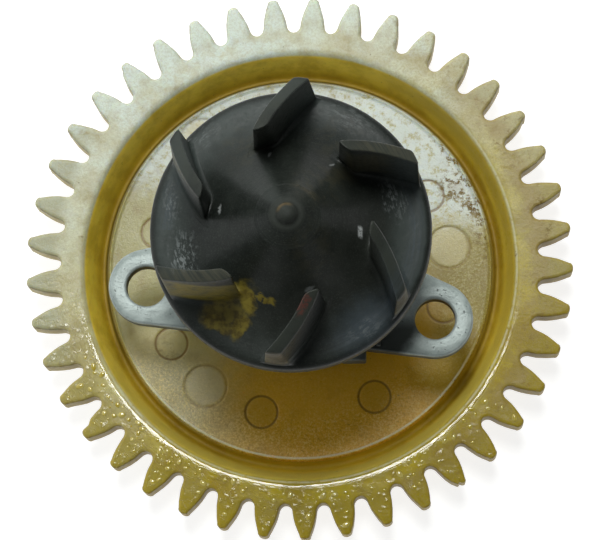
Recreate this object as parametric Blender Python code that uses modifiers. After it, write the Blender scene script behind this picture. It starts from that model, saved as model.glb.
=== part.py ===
"""Coolant pump drive unit of a small engine.

A moulded nylon spur gear drives a stepped shaft, which turns in a ball bearing and a bronze bush
inside a two-eared die-cast flange and carries a six-bladed plastic impeller. A lip seal keeps the
gear's oil in, and a spring-loaded carbon ring, running on the impeller's ceramic seat, keeps the
coolant out.

Frame: +Z runs along the shaft from the gear to the impeller. The origin is on the shaft's axis, in
the plane of the gear rim's back face. Lengths below are in millimetres and are turned into metres
where the meshes are made.
"""
import math

import bmesh
import bpy
from mathutils import Matrix

MM = 0.001
GAP = 0.3                     # clearance between neighbouring pieces
COLLECTION = "coolant_pump_drive_unit"

# Spur gear: 20 degree involute teeth, backlash taken off the tooth thickness
MODULE = 1.75
TEETH = 41
PRESSURE_ANGLE = math.radians(20)
PITCH_R = MODULE * TEETH / 2
TIP_R = PITCH_R + MODULE
ROOT_R = PITCH_R - 1.71 * MODULE
TOOTH_HALF_ANGLE = math.radians(2.0)     # half the tooth's angle at the pitch circle
TOOTH_PHASE = math.radians(-0.95)        # first tooth's middle, from +X
FACE_WIDTH = 8.0              # rim, from its back face to its front face
TOOTH_BACK = 3.6              # teeth are narrower than the rim
RIM_R = 31.6                  # plain rim behind the teeth
RIM_INNER_R = 29.57           # rim's inner front edge
WEB_R = 26.56                 # outer edge of the flat web
WEB_FRONT = 4.1
WEB_BACK = 1.6
GROOVE_BOTTOM = 2.4           # ring groove between web and rim
HUB_R = 6.2
HUB_BACK = 3.05
HUB_POCKET_R = 7.6

# Shaft
JOURNAL_R = 4.0               # gear and ball bearing seat
SHAFT_R = 5.0                 # bush, seals
THREAD_R = 3.0
SHAFT_BACK = 0.5
SHAFT_FRONT = 42.5
THREAD_START = 36.9
CLIP_GROOVE = (1.15, 2.15)
CLIP_GROOVE_R = 3.1
PIN_R = 1.25
PIN_HALF_LENGTH = 5.5
PIN_Z = 6.5

# Ball bearing, 8 x 22 x 7
BEARING_Z = (8.3, 15.3)
BEARING_R = (JOURNAL_R + GAP, 11.0)
INNER_RING_R = 5.9
OUTER_RING_R = 9.1
BALLS = 7
BALL_R = 1.98
BALL_CIRCLE_R = 7.5
RACE_R = 2.15

# Flange with its bearing housing
SHOULDER_Z = BEARING_Z[1] + GAP
PLATE_Z = (14.6, 17.4)
EAR_CIRCLE_R = 20.6
EAR_ANGLES = (192.0, 334.3)   # degrees from +X
EAR_R = 5.1
EAR_HOLE_R = 2.7              # clearance for an M5 screw
CROWN_R = 13.2                # plate's upper edge
SPIGOT_R = 13.6
SPIGOT_BACK = 5.4
BOSS_R = 12.4
BOSS_FRONT = 31.2
O_RING_GROOVE = (10.6, 13.0)
O_RING_GROOVE_R = 12.4
O_RING_WIRE_R = 0.8
CIRCLIP_GROOVE = (6.8, 8.2)
CIRCLIP_GROOVE_R = 12.0
BUSH_R = 7.1
BUSH_TOP = 21.6
SEAL_R = 9.1                  # outside of the lip seal and of the coolant seal
SEAL_BORE_Z = BUSH_TOP + GAP

# Impeller
DISC_R = 18.17
DISC_BACK = 33.2
DISC_FRONT = 36.5
NOSE_Z = 49.0
SEAT_RECESS_R = 9.1
SEAT_RECESS_TOP = 37.2
INSERT_R = 4.6
INSERT_Z = (37.5, 43.0)
BLADES = 6
BLADE_R = (10.65, 17.68)      # inner and outer end
BLADE_ANGLE = (108.4, 83.9)   # degrees, first blade, inner and outer end
BLADE_TOP = (51.3, 47.2)      # inner and outer end
BLADE_ROOT_Z = 35.0           # buried in the disc
BLADE_BOW = 1.6               # degrees that the middle of a blade runs ahead
BLADE_HALF_WIDTH = (0.98, 1.75)   # along the circumference, at the top and at the root

SMOOTH_ANGLE = math.radians(32)


# ---------------------------------------------------------------- scene and materials

def clear_scene():
    for obj in list(bpy.data.objects):
        bpy.data.objects.remove(obj, do_unlink=True)


def new_collection(name):
    collection = bpy.data.collections.new(name)
    bpy.context.scene.collection.children.link(collection)
    return collection


def new_material(name, color, roughness, metallic=0.0):
    material = bpy.data.materials.new(name)
    material.use_nodes = True
    material.diffuse_color = (*color, 1.0)
    shader = next(n for n in material.node_tree.nodes if n.type == "BSDF_PRINCIPLED")
    shader.inputs["Base Color"].default_value = (*color, 1.0)
    shader.inputs["Roughness"].default_value = roughness
    shader.inputs["Metallic"].default_value = metallic
    return material


# ---------------------------------------------------------------- shape tools

def new_object(name, data):
    obj = bpy.data.objects.new(name, data)
    parts.objects.link(obj)
    return obj


def apply_modifiers(obj):
    """Put the evaluated shape in place of the object's mesh and its modifiers."""
    depsgraph = bpy.context.evaluated_depsgraph_get()
    shape = bpy.data.meshes.new_from_object(obj.evaluated_get(depsgraph))
    shape.name = obj.name
    obj.modifiers.clear()
    obj.data = shape
    return obj


def turned(name, profile, steps):
    """Solid of revolution: profile is (radius, height) points, down the outer side first."""
    mesh = bpy.data.meshes.new(name)
    points = [(r * MM, 0.0, z * MM) for r, z in profile]
    closed = profile[0][0] > 0.0
    edges = [(i, i + 1) for i in range(len(points) - 1)]
    if closed:
        edges.append((len(points) - 1, 0))
    mesh.from_pydata(points, edges, [])
    obj = new_object(name, mesh)
    screw = obj.modifiers.new("Screw", "SCREW")
    screw.axis = "Z"
    screw.angle = 2 * math.pi
    screw.steps = steps
    screw.render_steps = steps
    screw.use_merge_vertices = True
    screw.merge_threshold = 0.00001
    return apply_modifiers(obj)


def extruded(name, loops, low, high):
    """Flat outline with any holes, given as loops of (x, y), filled and extruded along Z."""
    curve = bpy.data.curves.new(name, "CURVE")
    curve.dimensions = "2D"
    curve.fill_mode = "BOTH"
    curve.extrude = (high - low) / 2 * MM
    for loop in loops:
        spline = curve.splines.new("POLY")
        spline.points.add(len(loop) - 1)
        for point, (x, y) in zip(spline.points, loop):
            point.co = (x * MM, y * MM, 0.0, 1.0)
        spline.use_cyclic_u = True
    guide = new_object(name + "_outline", curve)
    guide.location.z = (low + high) / 2 * MM
    return mesh_from_curve(name, guide)


def mesh_from_curve(name, guide):
    """Welded mesh object with a curve's shape and place; the curve is removed."""
    bpy.context.view_layer.update()
    depsgraph = bpy.context.evaluated_depsgraph_get()
    mesh = bpy.data.meshes.new_from_object(guide.evaluated_get(depsgraph))
    mesh.name = name
    bm = bmesh.new()
    bm.from_mesh(mesh)
    bmesh.ops.remove_doubles(bm, verts=bm.verts, dist=0.000001)
    bmesh.ops.recalc_face_normals(bm, faces=bm.faces)
    bm.to_mesh(mesh)
    bm.free()
    obj = new_object(name, mesh)
    obj.matrix_world = guide.matrix_world.copy()
    bpy.data.objects.remove(guide, do_unlink=True)
    return obj


def rod(name, radius, length, segments, place):
    """Cylinder along its own Z, put in its place by a matrix in metres."""
    bm = bmesh.new()
    bmesh.ops.create_cone(bm, cap_ends=True, segments=segments, radius1=radius * MM,
                          radius2=radius * MM, depth=length * MM, matrix=place)
    mesh = bpy.data.meshes.new(name)
    bm.to_mesh(mesh)
    bm.free()
    return new_object(name, mesh)


def block(name, low, high):
    """Box between two corners."""
    size = [(b - a) * MM for a, b in zip(low, high)]
    middle = [(a + b) / 2 * MM for a, b in zip(low, high)]
    bm = bmesh.new()
    bmesh.ops.create_cube(bm, size=1.0, matrix=Matrix.Translation(middle) @ Matrix.Diagonal((*size, 1.0)))
    mesh = bpy.data.meshes.new(name)
    bm.to_mesh(mesh)
    bm.free()
    return new_object(name, mesh)


def ring(name, center_r, center_z, wire_r, steps, wire_steps):
    """Torus about the shaft's axis."""
    profile = arc(center_r, center_z, wire_r, 90, -270, wire_steps)[:-1]
    return turned(name, profile, steps)


def combine(obj, tools, operation):
    """Boolean of an object with each tool in turn; the tools are used up."""
    for tool in tools:
        cutters.objects.link(tool)
        parts.objects.unlink(tool)
        tool.hide_render = True
        tool.display_type = "WIRE"
        step = obj.modifiers.new(tool.name, "BOOLEAN")
        step.operation = operation
        step.solver = "EXACT"
        step.object = tool
    apply_modifiers(obj)
    for tool in tools:
        bpy.data.objects.remove(tool, do_unlink=True)
    return obj


def finish(obj, material):
    """Weld, shade and colour a finished piece."""
    bm = bmesh.new()
    bm.from_mesh(obj.data)
    bmesh.ops.remove_doubles(bm, verts=bm.verts, dist=0.000002)
    bmesh.ops.dissolve_degenerate(bm, dist=0.000001, edges=bm.edges)
    bm.to_mesh(obj.data)
    bm.free()
    obj.data.shade_smooth()
    obj.data.set_sharp_from_angle(angle=SMOOTH_ANGLE)
    obj.data.materials.clear()
    obj.data.materials.append(material)
    return obj


# ---------------------------------------------------------------- outlines

def arc(center_x, center_y, radius, start, end, steps):
    """Points on an arc, with its angles in degrees."""
    angles = [math.radians(start + (end - start) * i / steps) for i in range(steps + 1)]
    return [(center_x + radius * math.cos(a), center_y + radius * math.sin(a)) for a in angles]


def polar(radius, degrees):
    angle = math.radians(degrees)
    return radius * math.cos(angle), radius * math.sin(angle)


def involute(angle):
    return math.tan(angle) - angle


def flank_angle(radius):
    """Half the tooth's angle at a radius above the base circle."""
    base_r = PITCH_R * math.cos(PRESSURE_ANGLE)
    return TOOTH_HALF_ANGLE + involute(PRESSURE_ANGLE) - involute(math.acos(base_r / radius))


def gear_outline():
    """Toothed outline: root, fillet, involute flank and a slightly rounded tip."""
    base_half = flank_angle(PITCH_R * math.cos(PRESSURE_ANGLE))
    half = [(ROOT_R, math.radians(3.9)), (ROOT_R + 0.45, base_half + math.radians(0.12))]
    half += [(r, flank_angle(r)) for r in (34.2, 35.9, TIP_R - 0.35)]
    tooth = half + [(TIP_R, 0.0)]
    pitch = 2 * math.pi / TEETH
    points = []
    for index in range(TEETH):
        middle = index * pitch + TOOTH_PHASE
        rising = [(r, middle - a) for r, a in tooth]
        falling = [(r, middle + a) for r, a in reversed(half)]
        points += [(r * math.cos(a), r * math.sin(a)) for r, a in rising + falling]
    return points


def flange_outline():
    """Two ears on straight arms, a straight lower edge, and a round crown with fillets at its ends."""
    left, right = EAR_ANGLES
    (left_x, left_y), (right_x, right_y) = (polar(EAR_CIRCLE_R, angle) for angle in EAR_ANGLES)
    lower = math.degrees(math.atan2(right_y - left_y, right_x - left_x)) - 90
    spread = math.degrees(math.asin(EAR_R / CROWN_R))
    points = arc(left_x, left_y, EAR_R, left - 90, lower + 360, 14)
    points += arc(right_x, right_y, EAR_R, lower, right + 90 - 360, 14)
    fillet = 8.0                  # degrees of the crown's circle that each fillet takes
    for arm, side in ((right, 1), (left, -1)):
        corner = polar(CROWN_R, arm + side * spread)
        along = polar(2.5, arm)
        start = [c + d for c, d in zip(corner, along)]
        end = polar(CROWN_R, arm + side * (spread + fillet))
        curve = [tuple((1 - t) ** 2 * p + 2 * t * (1 - t) * q + t * t * r
                       for p, q, r in zip(start, corner, end)) for t in (0, 0.25, 0.5, 0.75, 1)]
        if side > 0:
            points += curve[:-1]
            points += arc(0, 0, CROWN_R, right + spread + fillet - 360, left - spread - fillet, 24)
        else:
            points += reversed(curve[:-1])
    return points


def clip_outline(inner_r, outer_r, opening, lug_r, lug_x, steps):
    """Open retaining ring whose opening, in degrees each side of +X, ends in two lugs."""
    outer = arc(0, 0, outer_r, opening, 360 - opening, steps)
    inner = arc(0, 0, inner_r, 360 - opening, opening, steps)
    reach = math.sin(math.radians(opening))
    low = [(lug_x, -outer_r * reach - lug_r), (lug_x, -inner_r * reach)]
    high = [(x, -y) for x, y in reversed(low)]
    return outer + low + inner + high


# ---------------------------------------------------------------- rotor

def make_gear():
    gear = extruded("drive_gear", [gear_outline()], TOOTH_BACK, FACE_WIDTH)
    rim = turned("plain_rim", [(0, TOOTH_BACK + 0.5), (RIM_R, TOOTH_BACK + 0.5), (RIM_R, 0.3),
                               (RIM_R - 0.3, 0), (0, 0)], 2 * TEETH)
    gear = combine(gear, [rim], "UNION")
    above = FACE_WIDTH + 1.0
    recess = turned("front_recess", [
        (HUB_R, above), (RIM_INNER_R + 0.3, above), (RIM_INNER_R, FACE_WIDTH - 0.15),
        (28.3, 3.7), (27.75, GROOVE_BOTTOM + 0.2), (27.3, GROOVE_BOTTOM), (26.95, GROOVE_BOTTOM + 0.25),
        (WEB_R, WEB_FRONT), (HUB_R, WEB_FRONT)], 2 * TEETH)
    pocket = turned("back_recess", [
        (0, HUB_BACK), (HUB_POCKET_R, HUB_BACK), (HUB_POCKET_R, WEB_BACK), (24.9, WEB_BACK),
        (25.7, -1.0), (0, -1.0)], TEETH)
    bore = rod("bore", JOURNAL_R + GAP, 4 * FACE_WIDTH, 24, Matrix.Identity(4))
    half_slot = PIN_R + GAP
    slot = block("pin_slot", (-HUB_R - 1, -half_slot, PIN_Z - half_slot), (HUB_R + 1, half_slot, above))
    return combine(gear, [recess, pocket, bore, slot], "DIFFERENCE")


def make_shaft():
    low, high = CLIP_GROOVE
    shaft = turned("drive_shaft", [
        (0, SHAFT_FRONT), (THREAD_R - 0.4, SHAFT_FRONT), (THREAD_R, SHAFT_FRONT - 0.4),
        (THREAD_R, THREAD_START), (SHAFT_R - 0.3, THREAD_START), (SHAFT_R, THREAD_START - 0.3),
        (SHAFT_R, SHOULDER_Z), (JOURNAL_R, SHOULDER_Z), (JOURNAL_R, high), (CLIP_GROOVE_R, high),
        (CLIP_GROOVE_R, low), (JOURNAL_R, low), (JOURNAL_R, SHAFT_BACK + 0.35),
        (JOURNAL_R - 0.35, SHAFT_BACK), (0, SHAFT_BACK)], 24)
    across = Matrix.Translation((0, 0, PIN_Z * MM)) @ Matrix.Rotation(math.pi / 2, 4, "Y")
    hole = rod("pin_hole", PIN_R + GAP, 4 * SHAFT_R, 16, across)
    return combine(shaft, [hole], "DIFFERENCE")


def make_drive_pin():
    across = Matrix.Translation((0, 0, PIN_Z * MM)) @ Matrix.Rotation(math.pi / 2, 4, "Y")
    return rod("drive_pin", PIN_R, 2 * PIN_HALF_LENGTH, 16, across)


def make_thrust_washer():
    low, high = HUB_BACK - GAP - 0.5, HUB_BACK - GAP
    return turned("gear_thrust_washer", [
        (JOURNAL_R + GAP, high), (7.0, high), (7.0, low), (JOURNAL_R + GAP, low)], 24)


def make_gear_clip():
    outline = clip_outline(CLIP_GROOVE_R + 0.25, 5.9, 28, 0.0, 5.0, 20)
    middle = sum(CLIP_GROOVE) / 2
    return extruded("gear_circlip", [outline], middle - 0.3, middle + 0.3)


def blade_section(share):
    """One cross-section of the first blade, at a share of the way out, as four corners."""
    radius = BLADE_R[0] + (BLADE_R[1] - BLADE_R[0]) * share
    angle = BLADE_ANGLE[0] + (BLADE_ANGLE[1] - BLADE_ANGLE[0]) * share
    angle -= BLADE_BOW * 4 * share * (1 - share)
    top = BLADE_TOP[0] + (BLADE_TOP[1] - BLADE_TOP[0]) * share
    corners = []
    for height, half_width in ((BLADE_ROOT_Z, BLADE_HALF_WIDTH[1]), (top, BLADE_HALF_WIDTH[0])):
        half_angle = math.degrees(half_width / radius)
        for side in (-1, 1):
            x, y = polar(radius, angle + side * half_angle)
            corners.append((x * MM, y * MM, height * MM))
    root_right, root_left, top_right, top_left = corners
    return root_right, root_left, top_left, top_right


def make_blade(index):
    """Loft along a blade: it narrows upwards, slopes down outwards and bows sideways."""
    bm = bmesh.new()
    turn = Matrix.Rotation(-2 * math.pi * index / BLADES, 4, "Z")
    stations = 6
    rows = [[bm.verts.new(p) for p in blade_section(i / stations)] for i in range(stations + 1)]
    for row, following in zip(rows, rows[1:]):
        for k in range(4):
            bm.faces.new((row[k], row[k - 1], following[k - 1], following[k]))
    bm.faces.new(rows[0])
    bm.faces.new(reversed(rows[-1]))
    bmesh.ops.transform(bm, matrix=turn, verts=bm.verts)
    bmesh.ops.recalc_face_normals(bm, faces=bm.faces)
    mesh = bpy.data.meshes.new("blade")
    bm.to_mesh(mesh)
    bm.free()
    return new_object(f"blade_{index + 1}", mesh)


def make_impeller():
    insert_hole_r = INSERT_R + GAP
    impeller = turned("impeller", [
        (0, NOSE_Z), (0.9, NOSE_Z - 0.1), (1.3, NOSE_Z - 0.6), (1.4, NOSE_Z - 1.1), (2.2, NOSE_Z - 1.3),
        (4.25, 46.0), (7.4, 42.4), (9.2, 40.35), (10.9, 38.7), (12.6, 37.5), (14.5, 36.85),
        (16.8, DISC_FRONT), (17.7, DISC_FRONT - 0.2), (DISC_R, DISC_FRONT - 0.8),
        (DISC_R, DISC_BACK + 0.4), (DISC_R - 0.4, DISC_BACK),
        (SEAT_RECESS_R, DISC_BACK), (SEAT_RECESS_R, SEAT_RECESS_TOP),
        (insert_hole_r, SEAT_RECESS_TOP), (insert_hole_r, INSERT_Z[1] + GAP),
        (0, INSERT_Z[1] + GAP)], 48)
    return combine(impeller, [make_blade(i) for i in range(BLADES)], "UNION")


def make_insert():
    low, high = INSERT_Z
    bore = THREAD_R + GAP
    return turned("impeller_insert", [(bore, high), (INSERT_R, high), (INSERT_R, low), (bore, low)], 24)


def make_ceramic_seat():
    bore = SHAFT_R + GAP
    low = DISC_BACK + 0.1
    return turned("ceramic_seat", [
        (bore, 36.3), (7.6, 36.3), (7.9, 36.0), (7.9, low), (bore, low)], 24)


def make_seat_boot():
    low, high = DISC_BACK + 0.4, SEAT_RECESS_TOP - GAP
    return turned("seat_boot", [
        (5.6, high), (8.8, high), (8.8, low), (8.2, low), (8.2, 36.6), (5.6, 36.6)], 24)


# ---------------------------------------------------------------- ball bearing

def race(side):
    """Raceway arc in a ring's profile: side 1 on the inner ring, -1 on the outer ring."""
    half = math.degrees(math.acos((BALL_CIRCLE_R - INNER_RING_R) / RACE_R))
    middle = sum(BEARING_Z) / 2
    if side > 0:
        return arc(BALL_CIRCLE_R, middle, RACE_R, 180 - half, 180 + half, 5)
    return arc(BALL_CIRCLE_R, middle, RACE_R, -half, half, 5)


def make_inner_ring():
    low, high = BEARING_Z
    profile = [(BEARING_R[0], high), (INNER_RING_R, high)] + race(1)
    return turned("bearing_inner_ring", profile + [(INNER_RING_R, low), (BEARING_R[0], low)], 24)


def make_outer_ring():
    low, high = BEARING_Z
    profile = [(OUTER_RING_R, high), (BEARING_R[1], high), (BEARING_R[1], low), (OUTER_RING_R, low)]
    return turned("bearing_outer_ring", profile + race(-1), 28)


def ball_place(index):
    turn = Matrix.Rotation(2 * math.pi * index / BALLS, 4, "Z")
    middle = sum(BEARING_Z) / 2 * MM
    return turn @ Matrix.Translation((BALL_CIRCLE_R * MM, 0, middle))


def make_ball(index):
    bm = bmesh.new()
    bmesh.ops.create_uvsphere(bm, u_segments=12, v_segments=8, radius=BALL_R * MM, matrix=ball_place(index))
    mesh = bpy.data.meshes.new("ball")
    bm.to_mesh(mesh)
    bm.free()
    return new_object(f"bearing_ball_{index + 1}", mesh)


def make_cage():
    """Crown cage: a thin ring whose pockets are open towards the impeller."""
    low, high = BEARING_Z[0] + 0.6, BEARING_Z[0] + 4.3
    cage = turned("bearing_cage", [(6.9, high), (8.1, high), (8.1, low), (6.9, low)], 42)
    outwards = Matrix.Rotation(math.pi / 2, 4, "Y")
    pockets = [rod(f"pocket_{i + 1}", BALL_R + 0.22, 4.0, 12, ball_place(i) @ outwards)
               for i in range(BALLS)]
    return combine(cage, pockets, "DIFFERENCE")


def make_bearing_clip():
    outline = clip_outline(9.7, CIRCLIP_GROOVE_R - 0.2, 16, -1.4, 9.0, 24)
    low, high = CIRCLIP_GROOVE
    return extruded("bearing_circlip", [outline], low + 0.2, high - 0.2)


# ---------------------------------------------------------------- flange and seals

def make_flange():
    plate = extruded("plate", [flange_outline()], *PLATE_Z)
    foot = block("locating_lug", (6.0, -14.4, PLATE_Z[0] - 1.4), (9.3, -9.0, PLATE_Z[1] - 0.5))
    rib = block("casting_rib", (10.7, -12.6, PLATE_Z[1] - 0.8), (11.3, -6.0, PLATE_Z[1] + 0.6))
    groove_low, groove_high = O_RING_GROOVE
    flange = turned("mounting_flange", [
        (0, BOSS_FRONT), (BOSS_R - 1.0, BOSS_FRONT), (BOSS_R - 0.5, BOSS_FRONT - 0.5),
        (BOSS_R, PLATE_Z[1] - 1.0), (SPIGOT_R, PLATE_Z[1] - 1.3), (SPIGOT_R, groove_high),
        (O_RING_GROOVE_R, groove_high), (O_RING_GROOVE_R, groove_low), (SPIGOT_R, groove_low),
        (SPIGOT_R, SPIGOT_BACK + 0.5), (SPIGOT_R - 0.5, SPIGOT_BACK), (0, SPIGOT_BACK)], 48)
    combine(flange, [plate, foot, rib], "UNION")
    bearing_bore = BEARING_R[1] + GAP
    clip_low, clip_high = CIRCLIP_GROOVE
    bore = turned("stepped_bore", [
        (0, BOSS_FRONT + 1), (SEAL_R + GAP, BOSS_FRONT + 1), (SEAL_R + GAP, SEAL_BORE_Z),
        (BUSH_R + GAP, SEAL_BORE_Z), (BUSH_R + GAP, SHOULDER_Z), (bearing_bore, SHOULDER_Z),
        (bearing_bore, clip_high), (CIRCLIP_GROOVE_R, clip_high), (CIRCLIP_GROOVE_R, clip_low),
        (bearing_bore, clip_low), (bearing_bore, SPIGOT_BACK - 1), (0, SPIGOT_BACK - 1)], 36)
    holes = []
    for number, angle in enumerate(EAR_ANGLES, 1):
        x, y = polar(EAR_CIRCLE_R, angle)
        place = Matrix.Translation((x * MM, y * MM, sum(PLATE_Z) / 2 * MM))
        holes.append(rod(f"screw_hole_{number}", EAR_HOLE_R, 10, 32, place))
    return combine(flange, [bore] + holes, "DIFFERENCE")


def make_o_ring():
    return ring("spigot_o_ring", O_RING_GROOVE_R + O_RING_WIRE_R + 0.25, sum(O_RING_GROOVE) / 2,
                O_RING_WIRE_R, 36, 8)


def make_bush():
    low, high = SHOULDER_Z + GAP, BUSH_TOP
    bore = SHAFT_R + GAP
    return turned("shaft_bush", [
        (bore, high), (BUSH_R - 0.3, high), (BUSH_R, high - 0.3), (BUSH_R, low), (bore, low)], 24)


def make_oil_seal_case():
    low, high = SEAL_BORE_Z + GAP, SEAL_BORE_Z + 4.3
    return turned("oil_seal_case", [
        (8.5, high), (SEAL_R, high), (SEAL_R, low), (7.0, low), (7.0, low + 0.6), (8.5, low + 0.6)], 24)


def make_oil_seal_lip():
    low = SEAL_BORE_Z + 1.2
    return turned("oil_seal_lip", [
        (5.9, low + 2.5), (6.6, low + 2.5), (6.6, low + 0.9), (8.2, low + 0.9), (8.2, low),
        (5.9, low), (5.6, low + 1.3), (SHAFT_R + GAP, low + 1.8), (5.6, low + 2.3)], 24)


def make_oil_seal_spring():
    return ring("oil_seal_spring", 7.1, SEAL_BORE_Z + 2.9, 0.35, 24, 6)


COOLANT_SEAL_Z = SEAL_BORE_Z + 4.6


def make_seal_cup():
    low, high = COOLANT_SEAL_Z, BOSS_FRONT - GAP
    return turned("coolant_seal_cup", [
        (8.5, high), (SEAL_R, high), (SEAL_R, low), (5.6, low), (5.6, low + 0.5), (8.5, low + 0.5)], 24)


def make_seal_bellows():
    """Rubber sleeve with a flange at each end, one in the cup and one under the carbon ring."""
    low, high = COOLANT_SEAL_Z + 0.8, BOSS_FRONT
    return turned("coolant_seal_bellows", [
        (5.4, high), (8.0, high), (8.0, high - 0.5), (6.0, high - 0.5), (6.0, low + 0.5),
        (8.0, low + 0.5), (8.0, low), (5.4, low)], 24)


def make_seal_spring():
    """Short helical spring between the bellows' two flanges."""
    low, high = COOLANT_SEAL_Z + 1.6, BOSS_FRONT - 0.8
    wire_r, coil_r, turns, steps = 0.3, 7.1, 2, 16
    curve = bpy.data.curves.new("coil", "CURVE")
    curve.dimensions = "3D"
    curve.bevel_depth = wire_r * MM
    curve.bevel_resolution = 2
    curve.use_fill_caps = True
    spline = curve.splines.new("POLY")
    spline.points.add(turns * steps)
    for i, point in enumerate(spline.points):
        x, y = polar(coil_r, 360 * i / steps)
        z = low + wire_r + (high - low - 2 * wire_r) * i / (turns * steps)
        point.co = (x * MM, y * MM, z * MM, 1.0)
    return mesh_from_curve("coolant_seal_spring", new_object("coil", curve))


def make_carbon_ring():
    low, high = BOSS_FRONT + GAP, DISC_BACK - 0.2
    return turned("carbon_face_ring", [
        (5.6, high), (7.0, high), (7.0, high - 0.6), (7.6, high - 0.6), (7.6, low), (5.6, low)], 24)


# ---------------------------------------------------------------- assembly

clear_scene()
parts = new_collection(COLLECTION)
cutters = new_collection("cutters")

nylon = new_material("aged_nylon", (0.55, 0.50, 0.27), 0.42)
black = new_material("black_moulded_plastic", (0.022, 0.027, 0.028), 0.5)
casting = new_material("zinc_grey_casting", (0.50, 0.55, 0.56), 0.42, 0.85)
steel = new_material("ground_steel", (0.55, 0.55, 0.56), 0.28, 1.0)
spring_steel = new_material("blackened_spring_steel", (0.09, 0.09, 0.10), 0.4, 0.9)
bearing_steel = new_material("bearing_steel", (0.66, 0.66, 0.68), 0.14, 1.0)
cage_nylon = new_material("cage_polyamide", (0.72, 0.68, 0.55), 0.5)
bronze = new_material("sintered_bronze", (0.45, 0.28, 0.12), 0.5, 0.9)
brass = new_material("turned_brass", (0.62, 0.46, 0.18), 0.3, 1.0)
rubber = new_material("nitrile_rubber", (0.018, 0.018, 0.020), 0.7)
carbon = new_material("carbon_graphite", (0.035, 0.035, 0.038), 0.45)
ceramic = new_material("white_ceramic", (0.80, 0.78, 0.72), 0.2)

finish(make_gear(), nylon)
finish(make_shaft(), steel)
finish(make_drive_pin(), steel)
finish(make_thrust_washer(), steel)
finish(make_gear_clip(), spring_steel)
finish(make_inner_ring(), bearing_steel)
finish(make_impeller(), black)
finish(make_insert(), brass)
finish(make_ceramic_seat(), ceramic)
finish(make_seat_boot(), rubber)

finish(make_cage(), cage_nylon)
for ball_number in range(BALLS):
    finish(make_ball(ball_number), bearing_steel)

finish(make_flange(), casting)
finish(make_o_ring(), rubber)
finish(make_outer_ring(), bearing_steel)
finish(make_bearing_clip(), spring_steel)
finish(make_bush(), bronze)
finish(make_oil_seal_case(), steel)
finish(make_oil_seal_lip(), rubber)
finish(make_oil_seal_spring(), steel)
finish(make_seal_cup(), steel)
finish(make_seal_bellows(), rubber)
finish(make_seal_spring(), steel)
finish(make_carbon_ring(), carbon)
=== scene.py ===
import math
from functools import reduce

import bmesh
import bpy
import numpy as np
from mathutils import Matrix, Vector, noise


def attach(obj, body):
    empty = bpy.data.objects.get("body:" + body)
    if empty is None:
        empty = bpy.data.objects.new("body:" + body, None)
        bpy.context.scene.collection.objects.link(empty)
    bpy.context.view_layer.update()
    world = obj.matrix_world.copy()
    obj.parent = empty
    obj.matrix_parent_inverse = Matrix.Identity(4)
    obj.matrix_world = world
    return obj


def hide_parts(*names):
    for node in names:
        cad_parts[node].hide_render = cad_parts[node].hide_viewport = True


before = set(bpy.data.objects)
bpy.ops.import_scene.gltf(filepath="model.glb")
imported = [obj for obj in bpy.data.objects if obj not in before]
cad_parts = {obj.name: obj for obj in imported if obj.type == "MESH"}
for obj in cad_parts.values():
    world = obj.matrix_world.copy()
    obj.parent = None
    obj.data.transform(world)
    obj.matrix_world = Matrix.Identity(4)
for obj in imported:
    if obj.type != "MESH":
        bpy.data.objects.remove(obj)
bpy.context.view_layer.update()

MM = 0.001

# Gear
MODULE = 1.75
TEETH = 41
PITCH_R = MODULE * TEETH / 2
TIP_R = PITCH_R + MODULE
ROOT_R = PITCH_R - 1.71 * MODULE
PRESSURE_ANGLE = math.radians(20)
TOOTH_HALF_ANGLE = math.radians(2.0)
TOOTH_PHASE = math.radians(-0.95)
TOOTH_BACK = 3.6              # teeth are narrower than the rim
RIM_R = 31.6                  # plain rim behind the teeth
FOOT_R = 33.95                # where the root's curve meets the flank
CROWN_START_R = 37.05         # where the flank meets the rounded tip
FACE_WIDTH = 8.0
BODY_R = 32.0                 # rings inside this radius are round
EDGE = 0.42                   # rounding of the teeth's edges
SLOT_HALF_WIDTH = 1.55
SLOT_FLOOR = 4.95
HUB_R = 6.2
BORE_R = 4.3
WEB_R = 26.9                  # where the web's edge drops into the groove
WEB_TOP = 4.1
WEB_BACK = 1.6
GROOVE_R = (26.75, 29.75)
RING_DEPTH, DISH_DEPTH = 0.08, 0.05     # of the moulded marks

# Ejector and gate marks on the web: x, y, radius
SMALL_MARKS = [(20.5 * math.cos(a), 20.5 * math.sin(a), 2.2)
               for a in np.radians(30 + 45 * np.arange(8))]
LARGE_MARKS = [(20.6, 3.0, 2.9), (-13.0, -16.2, 2.9), (-13.7, 18.5, 2.9)]

# Nicks in the teeth: x, y, reach, depth
NICKS = [(21.9, -30.2, 0.45, 0.75), (-30.4, -19.4, 0.5, 0.35), (-31.6, -17.6, 0.4, 0.3),
         (-29.2, -21.6, 0.4, 0.3), (33.4, 12.3, 0.6, 0.4), (-24.8, 27.6, 0.5, 0.22),
         (30.9, 20.2, 0.4, 0.2), (-12.4, -35.3, 0.5, 0.25), (9.5, -36.3, 0.4, 0.2)]

# Flange
EAR_ANGLES = (192.0, 334.3)
EARS = [(20.6 * math.cos(a), 20.6 * math.sin(a)) for a in np.radians(EAR_ANGLES)]
EAR_R = 5.1
EAR_HOLE_R = 2.7
PLATE_Z = (14.6, 17.4)
CROWN_R = 13.2

# Impeller
DISC_R = 18.17
BLADES = 6
BLADE_R = (10.65, 17.68)
BLADE_ANGLE = (108.4, 83.9)
BLADE_TOP = (51.3, 47.2)
BLADE_ROOT_Z = 35.0
BLADE_BOW = 1.6
BLADE_HALF_WIDTH = (0.98, 1.75)
BLADE_FILLET = 0.85
BLADE_EDGE = 0.26
BLADE_ZONE = (10.4, 17.9)     # radii that hold the blades and nothing else that stands up

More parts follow.
